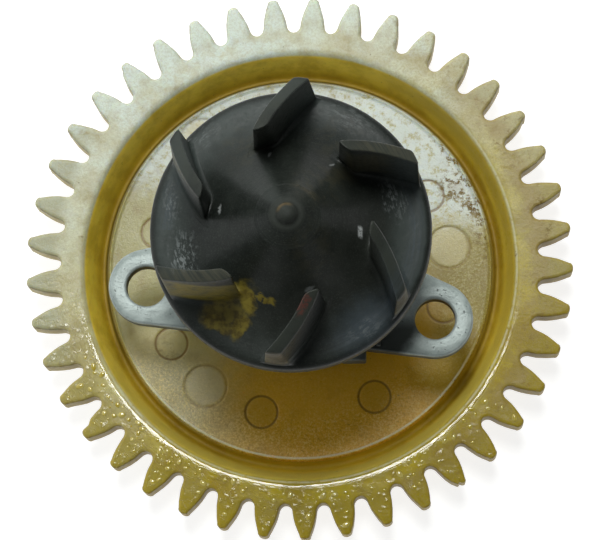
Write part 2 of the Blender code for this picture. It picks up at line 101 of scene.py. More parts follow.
# Studio, in mm
OIL_BEADS = 120
FLOOR_HALF = 1500.0
FLOOR_Z = -0.06
CAMERA_PLACE = (16.2, -69.8, 434.7)
CAMERA_AIM = (0.15, -0.68, 8.0)
CAMERA_LENS, CAMERA_SENSOR = 189.2, 36.0


# ---- mesh tools

def lattice(rows, closed=True):
    """Points and quads of a sheet made of ring-shaped rows, joined last to first if closed."""
    rows = np.asarray(rows, float)
    index = np.arange(rows.shape[0] * rows.shape[1]).reshape(rows.shape[:2])
    low, high = (index, np.roll(index, -1, 0)) if closed else (index[:-1], index[1:])
    faces = np.stack([low, np.roll(low, -1, 1), np.roll(high, -1, 1), high], -1)
    return rows.reshape(-1, 3), faces.reshape(-1, 4).tolist()


def joined(*shapes):
    """Several shapes, each points and faces, as one."""
    points, faces, start = [], [], 0
    for shape_points, shape_faces in shapes:
        points.append(np.asarray(shape_points, float).reshape(-1, 3))
        faces += [[start + i for i in face] for face in shape_faces]
        start += len(points[-1])
    return np.concatenate(points), faces


def revolved(profile, segments, closed=True):
    """Turned shape from (radius, height) points."""
    angles = 2 * np.pi * np.arange(segments) / segments
    return lattice([[(r * c, r * s, z) for c, s in zip(np.cos(angles), np.sin(angles))]
                    for r, z in profile], closed)


def rounded(corners, steps=5):
    """Closed profile whose corners (r, z, size) are replaced by short curves."""
    points = []
    for i, (r, z, size) in enumerate(corners):
        here = np.array((r, z))
        if not size:
            points.append((r, z))
            continue
        ends = []
        for other in (corners[i - 1], corners[(i + 1) % len(corners)]):
            way = np.array(other[:2]) - here
            length = np.linalg.norm(way)
            ends.append(here + way / length * min(size, 0.49 * length))
        for t in np.linspace(0, 1, steps + 1):
            points.append(tuple((1 - t) ** 2 * ends[0] + 2 * t * (1 - t) * here + t * t * ends[1]))
    return points


def smooth_line(knots, steps):
    """Catmull-Rom curve through (r, z) points."""
    p = [np.array(k, float) for k in [knots[0]] + list(knots) + [knots[-1]]]
    line = []
    for a, b, c, d in zip(p, p[1:], p[2:], p[3:]):
        for t in np.arange(steps) / steps:
            line.append(tuple(0.5 * (2 * b + (c - a) * t + (2 * a - 5 * b + 4 * c - d) * t * t
                                     + (3 * b - a - 3 * c + d) * t ** 3)))
    return line + [tuple(knots[-1])]


def new_object(name, data):
    obj = bpy.data.objects.new(name, data)
    bpy.context.scene.collection.objects.link(obj)
    return obj


def new_piece(name, shape, material, body, replaces=(), sharp=32):
    """Welded and shaded piece from a shape in mm, riding on a body."""
    points, faces = shape
    mesh = bpy.data.meshes.new(name)
    mesh.from_pydata((np.asarray(points) * MM).tolist(), [], faces)
    bm = bmesh.new()
    bm.from_mesh(mesh)
    bmesh.ops.remove_doubles(bm, verts=bm.verts, dist=0.0000012)
    bmesh.ops.dissolve_degenerate(bm, dist=0.0000002, edges=bm.edges)
    bmesh.ops.recalc_face_normals(bm, faces=bm.faces)
    bm.to_mesh(mesh)
    bm.free()
    mesh.shade_smooth()
    mesh.set_sharp_from_angle(angle=math.radians(sharp))
    mesh.materials.append(material)
    obj = new_object(name, mesh)
    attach(obj, body)
    if replaces:
        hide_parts(*replaces)
    return obj


def wobble(x, y, z, scale, seed=0.0):
    """Smooth noise from -1 to 1 at a point in mm."""
    return noise.noise(Vector((x * scale + seed, y * scale - seed, z * scale)))


# ---- node materials

class Nodes:
    """Short ways to add nodes to a tree. Each takes sockets or plain values."""

    def __init__(self, tree):
        self.tree = tree

    def put(self, value, socket):
        """Links a socket to another, or gives it a plain value or colour."""
        if isinstance(value, bpy.types.NodeSocket):
            self.tree.links.new(value, socket)
        elif isinstance(value, tuple) and len(value) == 3 and socket.type == "RGBA":
            socket.default_value = (*value, 1.0)
        elif value is not None:
            socket.default_value = value

    def new(self, kind, *values, **settings):
        """Node with its first inputs filled in order."""
        node = self.tree.nodes.new(kind)
        for name, value in settings.items():
            setattr(node, name, value)
        for value, socket in zip(values, node.inputs):
            self.put(value, socket)
        return node

    def math(self, operation, *values, clamp=False):
        return self.new("ShaderNodeMath", *values, operation=operation, use_clamp=clamp).outputs[0]

    def vector(self, operation, a, b=None):
        node = self.new("ShaderNodeVectorMath", a, operation=operation)
        if operation == "SCALE":
            self.put(b, node.inputs["Scale"])
        elif b is not None:
            self.put(b, node.inputs[1])
        return node.outputs["Value" if operation in ("DISTANCE", "DOT_PRODUCT") else "Vector"]

    def combined(self, x, y, z=0.0):
        return self.new("ShaderNodeCombineXYZ", x, y, z).outputs[0]

    def parts(self, place):
        """x, y and z of a place."""
        return self.new("ShaderNodeSeparateXYZ", place).outputs

    def away(self, place, x=0.0, y=0.0):
        """Distance of a place from a point, in x and y."""
        return self.vector("DISTANCE", self.vector("MULTIPLY", place, (1, 1, 0)), (x, y, 0))

    def step(self, value, low, high, to_low=0.0, to_high=1.0):
        """Smooth step of a value from low to high."""
        return self.new("ShaderNodeMapRange", value, low, high, to_low, to_high,
                        interpolation_type="SMOOTHSTEP").outputs[0]

    def times(self, *values):
        return reduce(lambda a, b: self.math("MULTIPLY", a, b), values)

    def most(self, *values):
        """The largest of several values."""
        return reduce(lambda a, b: self.math("MAXIMUM", a, b), values)

    def line(self, value, slope, start):
        """value * slope + start"""
        return self.math("MULTIPLY_ADD", value, slope, start)

    def off(self, mask, least=0.0):
        """1 where a mask is 0, down to least where it is 1."""
        return self.step(mask, 1.0, 0.0, least, 1.0)

    def mix(self, share, a, b):
        node = self.new("ShaderNodeMix", data_type="RGBA")
        for value, index in ((share, 0), (a, 6), (b, 7)):
            self.put(value, node.inputs[index])
        return node.outputs[2]

    def layered(self, color, *layers):
        """Colour with layers laid on it, each a tone and the masks and shares it goes on by."""
        for tone, *shares in layers:
            color = self.mix(self.times(*shares), color, tone)
        return color

    def band(self, value, low, high, soft):
        """1 between low and high, falling to 0 over soft."""
        return self.times(self.step(value, low - soft, low + soft),
                          self.step(value, high - soft, high + soft, 1.0, 0.0))


class Surface(Nodes):
    """Principled material whose patterns are read in the object's own coordinates, in mm."""

    def __init__(self, name, **inputs):
        self.material = bpy.data.materials.new(name)
        self.material.use_nodes = True
        super().__init__(self.material.node_tree)
        self.shader = next(n for n in self.tree.nodes if n.type == "BSDF_PRINCIPLED")
        self.set(**inputs)
        self.shifted = {}
        self.place = self.vector("SCALE", self.new("ShaderNodeTexCoord").outputs["Object"], 1 / MM)
        self.x, self.y, self.z = self.parts(self.place)
        self.radius = self.away(self.place)

    def set(self, **inputs):
        """Shader inputs, with their names in lower case and underscores."""
        for name, value in inputs.items():
            socket = next(s for s in self.shader.inputs
                          if s.name.lower().replace(" ", "_") == name)
            self.put(value, socket)

    def noise(self, scale, detail=2.0, rough=0.5, warp=0.0, at=None):
        node = self.new("ShaderNodeTexNoise")
        for name, value in (("Vector", at or self.place), ("Scale", scale), ("Detail", detail),
                            ("Roughness", rough), ("Distortion", warp)):
            self.put(value, node.inputs[name])
        return node.outputs[0]

    def cells(self, scale, at=None, **settings):
        node = self.new("ShaderNodeTexVoronoi", **settings)
        self.put(at or self.place, node.inputs["Vector"])
        self.put(scale, node.inputs["Scale"])
        return node.outputs["Distance"]

    def spot(self, x, y, reach, soft=0.5, stretch=1.0, turn=0.0, ragged=0.6):
        """Patch in x and y with an uneven edge; stretch makes it long along turn, in degrees."""
        mapping = self.new("ShaderNodeMapping", vector_type="TEXTURE")
        self.put(self.ragged(ragged), mapping.inputs["Vector"])
        mapping.inputs["Location"].default_value = (x, y, 0)
        mapping.inputs["Rotation"].default_value = (0, 0, math.radians(turn))
        mapping.inputs["Scale"].default_value = (reach * stretch, reach, 1)
        return self.step(self.away(mapping.outputs[0]), 1 - soft, 1 + soft, 1.0, 0.0)

    def ragged(self, amount):
        """Place in mm, shifted unevenly."""
        if amount not in self.shifted:
            node = self.new("ShaderNodeTexNoise")
            self.put(self.place, node.inputs["Vector"])
            node.inputs["Scale"].default_value = 0.9
            node.inputs["Detail"].default_value = 4
            centred = self.vector("SUBTRACT", node.outputs["Color"], (0.5, 0.5, 0.5))
            shift = self.vector("SCALE", centred, 4 * amount)
            self.shifted[amount] = self.vector("ADD", self.place, shift)
        return self.shifted[amount]

    def bump(self, *layers):
        """Bumps, each (height, depth in mm), added up on the shader's normal."""
        normal = None
        for height, depth in layers:
            node = self.new("ShaderNodeBump")
            node.inputs["Strength"].default_value = 1.0
            node.inputs["Distance"].default_value = depth * MM
            self.put(height, node.inputs["Height"])
            if normal:
                self.put(normal, node.inputs["Normal"])
            normal = node.outputs[0]
        self.set(normal=normal)


def nylon_surface():
    """Natural nylon, yellowed: paler and drier at one side, oily and browner at the other, with
    painted light and shade on its edges, sides, groove and web.
    """
    s = Surface("aged_nylon", subsurface_weight=0.45, subsurface_radius=(1, 0.8, 0.3),
                subsurface_scale=1.1 * MM, specular_ior_level=0.5)
    step, band, spot, times, radius = s.step, s.band, s.spot, s.times, s.radius
    mottle = s.noise(0.33, 5, 0.6)
    fine = s.noise(2.4, 4, 0.65)
    grit = s.noise(1.1, 5, 0.75)
    speck = s.noise(3.6, 3, 0.75)
    slope = s.line(s.y, 0.031, s.line(s.noise(0.07, 3, 0.55), 0.9, -0.45))
    slope = s.line(s.x, -0.017, slope)
    pale = step(slope, -0.75, 0.95)
    front = step(s.z, 7.55, 7.95)
    web = times(step(radius, WEB_R, 26.6), step(s.z, 3.2, 3.6))
    groove = times(band(radius, *GROOVE_R, 0.14), step(s.z, 7.7, 7.3))
    tooth_wall = times(step(radius, 31.5, 31.8), step(s.z, 7.7, 7.2))

    rim_color = s.layered(
        s.mix(step(radius, 31.5, 33.8), (0.5, 0.385, 0.017), (0.35, 0.265, 0.02)),
        ((0.62, 0.62, 0.43), pale),
        ((0.7, 0.78, 0.71), step(slope, 0.55, 1.15), 0.9),
        # greyer teeth at the left, then pale, wet and dull patches
        ((0.39, 0.39, 0.25), step(radius, 32.4, 34.5), step(s.x, -27, -32), band(s.y, -14, 27, 4),
         0.75),
        ((0.62, 0.58, 0.3), spot(-23.1, -18.5, 4, 0.6), 0.7),
        ((0.37, 0.295, 0.045), spot(-25, -26, 9, 0.5, 1.5, -45), step(radius, 31.6, 33.6), 0.55),
        ((0.33, 0.285, 0.07), spot(35.5, -1, 3.2, 0.6), 0.5),
        ((0.4, 0.37, 0.19), spot(24.7, 24.7, 3, 0.6), 0.6),
        # mottle, painted shade browning the flanks near the roots, and broad blotches
        ((0.36, 0.29, 0.1), step(mottle, 0.38, 0.66), band(radius, 28.5, 35, 2.2), 0.5),
        ((0.26, 0.165, 0.022), step(mottle, 0.6, 0.78), 0.6),
        ((0.24, 0.15, 0.022), band(radius, 32.2, 33.9, 0.5), step(s.z, 8, 6.5),
         step(mottle, 0.25, 0.6), 0.7),
        (s.mix(pale, (0.3, 0.2, 0.022), (0.57, 0.54, 0.35)), step(s.noise(0.21, 6, 0.7), 0.45, 0.58),
         band(radius, 29.4, 33.2, 1.3), 0.55),
        ((0.68, 0.77, 0.69), step(s.noise(0.16, 4, 0.6), 0.5, 0.62), step(s.y, 10, 20),
         step(s.x, 26, 14), 0.6),
        # brown roots, grain and stains at the right
        ((0.35, 0.25, 0.075), band(radius, 31.8, 34.4, 0.9), step(s.x, 2, 26),
         step(mottle, 0.3, 0.55), 0.5),
        ((0.36, 0.285, 0.11), step(s.noise(3, 4, 0.8), 0.44, 0.6), step(s.x, 8, 20, 0.25, 0.45)),
        ((0.25, 0.165, 0.035), step(s.noise(0.9, 5, 0.8), 0.55, 0.64), band(radius, 31.4, 36.5, 1),
         step(s.x, 12, 24), 0.55),
        # worn edges of the teeth, a painted highlight on the rim's inner edge, painted shade on the
        # teeth's sides
        ((0.22, 0.155, 0.045), step(radius, 30.8, 31.4), step(s.z, 7.96, 7.75),
         step(grit, 0.34, 0.56), step(radius, 34.5, 37, 0.45, 0.8)),
        ((0.78, 0.78, 0.6), band(radius, 29.72, 30, 0.12),
         step(s.line(s.x, 0.7, times(s.y, -1)), -14, 4), step(grit, 0.32, 0.5), 0.5),
        (s.mix(pale, (0.28, 0.195, 0.03), (0.46, 0.38, 0.15)), tooth_wall, 0.85))

    under = step(s.away(s.ragged(0.9), 7, -18), 24, 9)
    across = s.parts(s.ragged(1.1))
    dirt_and_shade = times(band(s.parts(s.ragged(0.6))[0], 14, 30, 3), step(s.away(s.ragged(0.35)), 24.4, 26.2),
                 step(s.y, -4, 3), step(s.y, 20, 15), step(grit, 0.5, 0.59), 0.95)
    bottom = times(step(radius, 18, 24, 0.25, 1), step(s.y, -9, -15))
    right = times(step(s.x, 17, 21), step(s.y, 7, 0), step(s.y, -14, -10))
    painted_shade_spot = spot(20.8, -13.8, 4.6, 0.7)
    web_color = s.layered(
        s.mix(step(slope, -0.9, 0.3), (0.46, 0.335, 0.04), (0.41, 0.375, 0.165)),
        # painted glare, a reflection of the light, on the upper part
        ((0.64, 0.7, 0.66), step(s.line(across[0], 0.12, across[1]), 6.5, 12), step(grit, 0.66, 0.48),
         0.85),
        # browner at the right, and a painted sheen at the lower left
        (s.mix(step(grit, 0.4, 0.6), (0.33, 0.265, 0.095), (0.24, 0.165, 0.042)),
         spot(22, -5, 6, 0.7, 1, 0, 1.2), 0.75),
        ((0.295, 0.235, 0.06), step(radius, 23, 25), step(s.x, 18, 22), band(s.y, -12, 3, 3), 0.7),
        ((0.6, 0.52, 0.25), spot(-21.8, -12.6, 4, 0.7), 0.6),
        ((0.56, 0.52, 0.32), spot(-15.5, -17.5, 5.5, 0.7, 1.3, -45), 0.5),
        ((0.165, 0.092, 0.006), dirt_and_shade),
        # orange zone in the disc's shadow
        ((0.76, 0.42, 0.02), under, 0.9),
        # grain at the right and along the bottom
        ((0.315, 0.255, 0.06), right, 0.75),
        ((0.22, 0.135, 0.015), right, step(speck, 0.46, 0.36), 0.5),
        ((0.56, 0.5, 0.25), right, step(speck, 0.52, 0.64), 0.6),
        ((0.9, 0.72, 0.27), step(speck, 0.5, 0.62), bottom, 0.62),
        ((0.27, 0.15, 0.01), step(speck, 0.46, 0.36), bottom, 0.45),
        # painted shade, a darker olive spot at the lower right
        ((0.36, 0.245, 0.012), painted_shade_spot, 0.75),
        (s.mix(under, (0.29, 0.21, 0.075), (0.38, 0.2, 0.012)), step(mottle, 0.5, 0.72),
         step(under, 0, 1, 0.4, 0.2)),
        # painted highlight along the web's bottom edge
        ((0.86, 0.86, 0.68), band(radius, 26.05, 26.35, 0.1), step(s.y, -8, -17),
         step(grit, 0.3, 0.45, 0.5, 1), 0.65))

    outer = step(radius, 27.7, 28.9)
    wall = step(radius, 27.9, 28.5)
    floor = s.off(wall)
    low = step(s.y, -6, -20)
    uneven = step(mottle, 0.35, 0.7)
    groove_color = s.layered(
        s.mix(uneven, (0.56, 0.385, 0.02), (0.4, 0.26, 0.012)),
        (s.mix(uneven, (0.98, 0.73, 0.075), (0.72, 0.51, 0.036)), outer),
        ((0.5, 0.355, 0.04), outer, step(s.x, 4, 22), 0.9),
        ((0.3, 0.18, 0.008), band(radius, WEB_R, 27.9, 0.35), 0.5),
        # painted shade: a dark line at the foot of the web's edge
        ((0.125, 0.095, 0.014), band(radius, 26.55, 27.15, 0.15), step(s.y, -18, -8),
         step(s.x, 10, 24, 0.9, 0.6)),
        # painted light: the groove's floor is brighter at the bottom; it is darker at the lower left
        # and at the right, and its wall is paler at the bottom
        ((0.95, 0.68, 0.05), low, floor, band(s.x, -8, 14, 7), 0.4),
        ((0.3, 0.2, 0.01), low, floor, step(s.x, -6, -16), 0.3),
        ((0.27, 0.165, 0.01), floor, step(s.x, 18, 26), step(s.y, -10, 4), 0.5),
        ((0.6, 0.475, 0.085), low, wall, 0.8))

    rings, raised, sunk = [], [], []
    for x, y, reach in SMALL_MARKS + LARGE_MARKS:
        small = reach < 2.5
        gap = s.away(s.place, x, y)
        ring = step(s.math("ABSOLUTE", s.math("SUBTRACT", gap, reach)), 0.06, 0.26, 1, 0)
        rings.append(times(ring, 0.75 if small else 0.3))
        (sunk if small else raised).append(step(gap, reach - 0.05, reach - 0.6))
    raised, sunk = s.most(*raised), s.most(*sunk)
    color = s.layered(
        s.mix(groove, s.mix(web, rim_color, web_color), groove_color),
        ((0.13, 0.08, 0.018), step(grit, 0.63, 0.71), step(s.noise(0.12, 2), 0.42, 0.6), 0.75),
        ((0.19, 0.098, 0.01), s.most(*rings), web),
        ((0.6, 0.53, 0.29), s.math("SUBTRACT", raised, sunk, clamp=True), web, 0.6),
        ((0.56, 0.325, 0.018), s.math("SUBTRACT", sunk, raised, clamp=True), web, under, 0.5))
    for x, y, reach, strength in (
            (21.2, 11.6, 1.9, 0.95), (23.6, 8.6, 1.2, 0.9), (24, 4.6, 1, 0.7),
            (-18.6, -11.2, 1.6, 0.35), (33.2, 8.6, 0.9, 0.6), (34.3, 4.9, 0.7, 0.5)):
        patch = times(spot(x, y, reach, 0.7), step(grit, 0.46, 0.57), strength)
        color = s.mix(patch, color, (0.15, 0.085, 0.006))
        dirt_and_shade = s.most(dirt_and_shade, patch)
    # the painted shade spot also lowers the specular level, together with the dirt
    dirt_and_shade = s.most(dirt_and_shade, times(painted_shade_spot, web, 0.6))

    oily = s.line(s.y, -0.045, s.line(s.x, -0.012, s.line(mottle, 1.1, -0.55)))
    oily = step(oily, 0.3, 1)
    edge = times(s.most(band(radius, 29.6, 30.7, 0.15), band(radius, 26, 26.5, 0.1)),
                 step(s.y, -4, -12))
    rough = s.line(times(oily, front), -0.22, s.line(fine, 0.16, 0.3))
    rough = times(s.line(groove, 0.14, s.line(web, -0.09, rough)), s.line(edge, -0.72, 1))
    drops = times(step(s.cells(1.05, s.ragged(0.22), feature="SMOOTH_F1"), 0.16, 0.46, 1, 0),
                  oily, front, step(s.noise(0.55, 1), 0.46, 0.56))
    dull = s.off(edge)
    matte = times(front, step(s.y, -2, -12), dull, step(radius, 30.2, 31.2))
    broken = step(s.noise(1.1, 4, 0.75), 0.36, 0.5, 0.35, 1)
    level = s.math("ADD", s.line(matte, -0.22, 0.35),
                   s.most(times(edge, broken, 0.1), times(drops, 0.4)))
    level = times(level, s.off(tooth_wall, 0.15), s.off(dirt_and_shade, 0.2), s.off(times(web, right), 0.6))
    s.set(base_color=color, roughness=rough, specular_ior_level=level)

    smooth = s.most(times(oily, front, 0.9), times(web, 0.25), edge)
    grain = times(s.line(s.noise(5.5, 2, 0.6), 0.5, fine), s.off(smooth))
    along = s.combined(times(s.math("ARCTAN2", s.x, s.y), 15), times(radius, 1.25))
    worms = times(step(s.noise(1.9, 3, 0.55, 0.8, at=along), 0.52, 0.62), oily, front, dull,
                  step(s.x, 20, -6, 0.5, 1), step(radius, 35.6, 33.2, 0.35, 1),
                  step(s.line(s.x, -0.006, mottle), 0.42, 0.58))
    waves = times(s.noise(0.5, 2), s.off(s.most(web, times(edge, 0.6)), 0.12))
    s.bump((waves, 0.1), (grain, 0.045), (worms, 0.04), (times(drops, dull), 0.035))
    return s.material


def oil_surface():
    """Beads of dirty yellow oil."""
    s = Surface("oil_beads", roughness=0.05, specular_ior_level=0.8)
    tone = s.noise(0.6, 3, 0.6)
    s.set(base_color=s.mix(s.step(tone, 0.35, 0.65), (0.42, 0.31, 0.022), (0.56, 0.46, 0.13)))
    s.bump((s.noise(1.6, 2), 0.02))
    return s.material


def black_plastic_surface():
    """Black moulded plastic with turned-mould lines, dust, scuffs, yellow and red residue, and
    painted reflections, highlights and shade.
    """
    s = Surface("black_moulded_plastic", specular_ior_level=0.21)
    step, band, spot, times, radius = s.step, s.band, s.spot, s.times, s.radius
    mottle = s.noise(0.35, 5, 0.6)
    fine = s.noise(2, 3, 0.6)
    broad = s.noise(0.8, 4, 0.6)
    angle = s.math("ARCTAN2", s.y, s.x)
    uneven = step(mottle, 0.3, 0.75)
    turned = s.noise(5, 4, 0.75, at=s.combined(radius, 0))
    streaks = s.noise(1.3, 4, 0.7, at=s.combined(times(angle, 1.6), times(radius, 2.4)))
    blade_zone = band(radius, *BLADE_ZONE, 0.15)
    blade_foot = step(s.z, 46.5, 45.5)
    tops = times(step(s.line(radius, 0.583, s.z), 57.16, 57.49), blade_zone)
    walls = times(step(s.z, 38.9, 39.7), blade_zone, step(tops, 0.5, 0))
    painted_shade_walls = times(walls, step(s.y, -8, -11), step(s.x, -3, 1))

    color = s.layered(
        s.mix(uneven, (0.0105, 0.0128, 0.0108), (0.0188, 0.0226, 0.019)),
        # painted light: lighter toward the lower right, most near the middle
        (s.mix(uneven, (0.02, 0.0225, 0.0185), (0.028, 0.031, 0.026)),
         step(s.line(s.x, 0.6, times(s.y, -0.8)), -2, 9),
         step(radius, 16.5, 12, 0.3, 1)))
    # painted reflections: paler sectors of the cone
    for low, high, soft, reach, share, tone in (
            (109, 143, 0.1, (17.5, 5), 0.55, (0.034, 0.041, 0.035)),
            (184, 204, 0.06, (13, 4), 0.6, (0.029, 0.034, 0.031)),
            (20, 95, 0.25, (13, 6), 0.35, (0.03, 0.034, 0.027))):
        sector = band(s.line(mottle, 0.16, angle), math.radians(low) + 0.08,
                      math.radians(high) + 0.08, soft)
        color = s.layered(color, (tone, sector, step(radius, *reach), share))
    # painted light: the outer part of the disc is greyer toward the upper left and the right, with
    # bluish painted reflections along turned arcs at its left and right
    lit = s.line(band(angle, -0.45, 0.35, 0.2), 1.4, step(s.line(s.x, -1, s.y), -4, 18, 0.28, 1))
    color = s.layered(color, ((0.05, 0.061, 0.056), step(radius, 11.5, 15.5),
                              step(radius, 17.8, 17), lit, step(mottle, 0.2, 0.7, 0.5, 1)))
    arcs = s.most(step(turned, 0.5, 0.6), step(streaks, 0.35, 0.7))
    for low, high in ((2.75, 3.2), (-1.15, 0.4)):
        color = s.layered(color, ((0.058, 0.074, 0.084), band(radius, 15.2, 17, 0.6),
                                  band(angle, low, high, 0.3), arcs, 0.8))
    color = s.layered(
        color,
        ((0.05, 0.066, 0.078), spot(9.6, -12.2, 2.4, 0.9, 1.6, 40), 0.7),
        # turned lines near the nose, dust and speckle
        ((0.036, 0.04, 0.034), step(turned, 0.48, 0.62), step(radius, 8, 2.5), 0.35),
        ((0.085, 0.092, 0.082), step(fine, 0.5, 0.78), step(s.noise(0.28, 3), 0.45, 0.65),
         step(radius, 2.6, 4), 0.16),
        ((0.066, 0.073, 0.062), step(s.noise(4.6, 3, 0.75), 0.52, 0.66), 0.32))
    smudge = step(s.noise(0.55, 5, 0.75), 0.44, 0.6)
    for x, y, reach, strength in (
            (3.8, 4.6, 2.6, 0.55), (6, 11.5, 3, 0.35), (-6, 10.5, 3, 0.3), (3, -4, 3, 0.3)):
        color = s.layered(color, ((0.052, 0.049, 0.03), spot(x, y, reach, 0.6), smudge, strength))
    yellow = s.most(*[
        times(spot(x, y, reach, 0.3, stretch, turn, 0.4), step(fine, low, low + 0.1), strength)
        for x, y, reach, stretch, turn, low, strength in (
            (-5.5, -9.3, 0.95, 2, 105, 0.22, 0.95), (-3.2, -9.5, 0.5, 2.9, -22, 0.34, 0.9),
            (-9, -12.3, 0.95, 2.7, -20, 0.2, 0.75), (-6.5, -12.7, 1, 1.7, 55, 0.24, 0.85),
            (-8.3, -10.8, 1.5, 1.9, -6, 0.12, 0.62))])
    color = s.layered(
        color,
        # blade tops and the blades' outer ends
        ((0.036, 0.041, 0.032), tops, step(mottle, 0.3, 0.7, 0.3, 0.9)),
        ((0.08, 0.076, 0.05), tops,
         s.most(band(angle, -2.7, -2.2, 0.1), band(angle, 0.35, 0.75, 0.1)), step(streaks, 0.35, 0.6),
         0.6),
        ((0.085, 0.076, 0.05), step(radius, 17.42, 17.6), step(s.z, 37.2, 39.5), step(s.y, 4, -4),
         step(mottle, 0.36, 0.5), 0.75),
        # yellow residue, then the tinted walls of three blades, and red on a fourth
        (s.mix(step(broad, 0.35, 0.62), (0.085, 0.06, 0.008), (0.215, 0.168, 0.022)), yellow),
        ((0.07, 0.062, 0.034), spot(9.6, 7.2, 1.3, 0.5, 3.2, 15), step(s.z, 49.2, 47.6),
         step(s.z, 38.8, 39.6), step(streaks, 0.35, 0.6, 0.4, 1), 0.5),
        ((0.037, 0.043, 0.035), spot(-0.2, 13.2, 1.6, 0.5, 2.6, 78), step(s.z, 49.8, 48.8),
         step(s.z, 38.8, 39.6), step(mottle, 0.3, 0.7, 0.5, 1), 0.6),
        ((0.175, 0.138, 0.018), spot(-11, -8.9, 1.3, 0.4, 4.2, 188), step(s.z, 47.6, 46.4),
         step(s.z, 37, 38.5), step(broad, 0.25, 0.6, 0.4, 1), 0.92),
        ((0.13, 0.034, 0.024), spot(2, -11.9, 0.7, 0.4, 2, 72), step(fine, 0.34, 0.55),
         step(s.z, 46, 47.5), 0.6))
    dashes = s.noise(1.5, 4, 0.7, 0.3, at=s.combined(times(angle, 9), times(radius, 1.9), s.z))
    worms = step(s.line(fine, 0.35, dashes), 0.66, 0.76)
    for x, y, reach, stretch, turn, strength in (
            (-13.6, -3.6, 1.2, 2.1, 102, 0.8), (7.6, 14.6, 1.1, 2.6, 152, 0.3),
            (13.3, 3.6, 1.1, 1.8, 108, 0.75), (9.5, -13, 1, 1.8, 35, 0.3),
            (-15.4, 3.5, 0.7, 3.2, 98, 0.4), (-11, 12, 0.9, 2.2, 48, 0.3)):
        color = s.layered(color, ((0.2, 0.22, 0.215), spot(x, y, reach, 0.9, stretch, turn, 0.9),
                                  worms, strength))
    painted_foot_highlights = s.most(*[
        times(spot(x, y, reach, 0.45, stretch, turn, 0.16), step(fine, 0.36, 0.5), strength)
        for x, y, reach, stretch, turn, strength in (
            (-8.85, 2, 0.17, 3.4, 82, 0.6), (-2.5, 9, 0.16, 2.4, 60, 0.35),
            (5.5, 7.6, 0.15, 2.4, 20, 0.35), (2.6, -8.4, 0.24, 2.6, 25, 0.25))])
    color = s.layered(
        color,
        # the nose, with a brown painted highlight on the upper left of its dome and a brown arc below
        # it
        ((0.03, 0.034, 0.028), step(radius, 2.5, 2), 0.7),
        ((0.14, 0.095, 0.04), band(radius, 0.95, 1.35, 0.2), band(angle, 1.1, 2.9, 0.4), 0.6),
        ((0.1, 0.085, 0.055), band(radius, 3.75, 4.35, 0.25), band(angle, 0.45, 1.35, 0.25),
         step(fine, 0.35, 0.6), 0.35),
        # painted highlights at the blades' feet
        ((0.42, 0.44, 0.43), painted_foot_highlights, blade_foot),
        ((0.46, 0.48, 0.47), band(s.x, 8.76, 9.28, 0.13), band(s.line(s.x, 0.3, s.y), 0.9, 2.3, 0.22),
         step(s.noise(2.4, 2), 0.34, 0.52, 0.35, 1), blade_foot),
        # painted shade on the wall of the bottom blade
        ((0.01, 0.011, 0.0095), painted_shade_walls, 0.7))
    rough = s.line(step(fine, 0.45, 0.8), 0.16, s.line(mottle, 0.22, 0.28))
    rough = s.line(band(radius, 8.6, 11.2, 0.5), -0.05, rough)
    rough = s.math("ADD", rough, s.most(times(yellow, 0.25), times(step(radius, 3, 2.2), 0.2),
                                        times(tops, 0.15)))
    s.set(base_color=color, roughness=rough,
          specular_ior_level=step(painted_shade_walls, 0, 1, 0.21, 0.07))
    cone = times(step(radius, 2.4, 3), step(radius, 9.5, 8))
    s.bump((s.noise(0.6, 2), 0.05), (times(turned, cone), 0.02), (fine, 0.016), (yellow, 0.06))
    return s.material


def casting_surface():
    """Die-cast zinc, dull greenish grey, burnished where the screw heads sat and along its edges,
    with painted shade on its sides and a painted shadow of the disc.
    """
    s = Surface("zinc_grey_casting", metallic=0.35, specular_ior_level=0.4)
    mottle = s.noise(0.5, 5, 0.6)
    fine = s.noise(3.5, 5, 0.7)
    pits = s.step(s.noise(1.7, 3, 0.7), 0.3, 0.36, 1, 0)
    gaps = [s.away(s.ragged(0.12), x, y) for x, y in EARS]
    worn = s.times(s.most(*[s.band(gap, 2.9, 4.35, 0.2) for gap in gaps]), s.step(s.z, 17.1, 17.3),
                   s.step(fine, 0.3, 0.6, 0.4, 1))
    low = s.step(s.z, 17, 16.4)
    color = s.layered(
        s.mix(s.step(mottle, 0.3, 0.7), (0.215, 0.255, 0.24), (0.345, 0.395, 0.375)),
        ((0.44, 0.49, 0.47), worn, 0.55),
        ((0.055, 0.06, 0.055), pits, 0.75),
        # bright top edges, painted shade darkening the sides and everything lower down, brown bores
        ((0.52, 0.57, 0.55), s.band(s.z, 17.12, 17.36, 0.1), s.step(fine, 0.35, 0.6, 0.2, 0.9), 0.55),
        ((0.06, 0.066, 0.06), low, 0.75),
        ((0.085, 0.05, 0.018), s.most(*[s.step(gap, 2.95, 2.72) for gap in gaps]),
         s.step(s.z, 17.3, 16.7), s.step(mottle, 0.36, 0.5), 0.8),
        # painted shadow of the disc on the plate beside it, and grime lower down
        ((0.034, 0.038, 0.033), s.step(s.away(s.ragged(0.3)), 20.4, 18.6), s.step(s.x, 4, 10),
         s.step(s.y, -7.5, -10.5), 0.95),
        ((0.1, 0.08, 0.05), s.step(s.noise(0.22, 4, 0.7), 0.46, 0.68), low, 0.6))
    s.set(base_color=color, roughness=s.line(worn, -0.08, s.line(fine, 0.22, 0.4)))
    scratch = s.noise(6, 3, 0.6, at=s.vector("MULTIPLY", s.place, (0.18, 1.6, 0.5)))
    s.bump((mottle, 0.06), (fine, 0.035), (s.step(scratch, 0.62, 0.7), -0.012), (pits, -0.06))
    return s.material


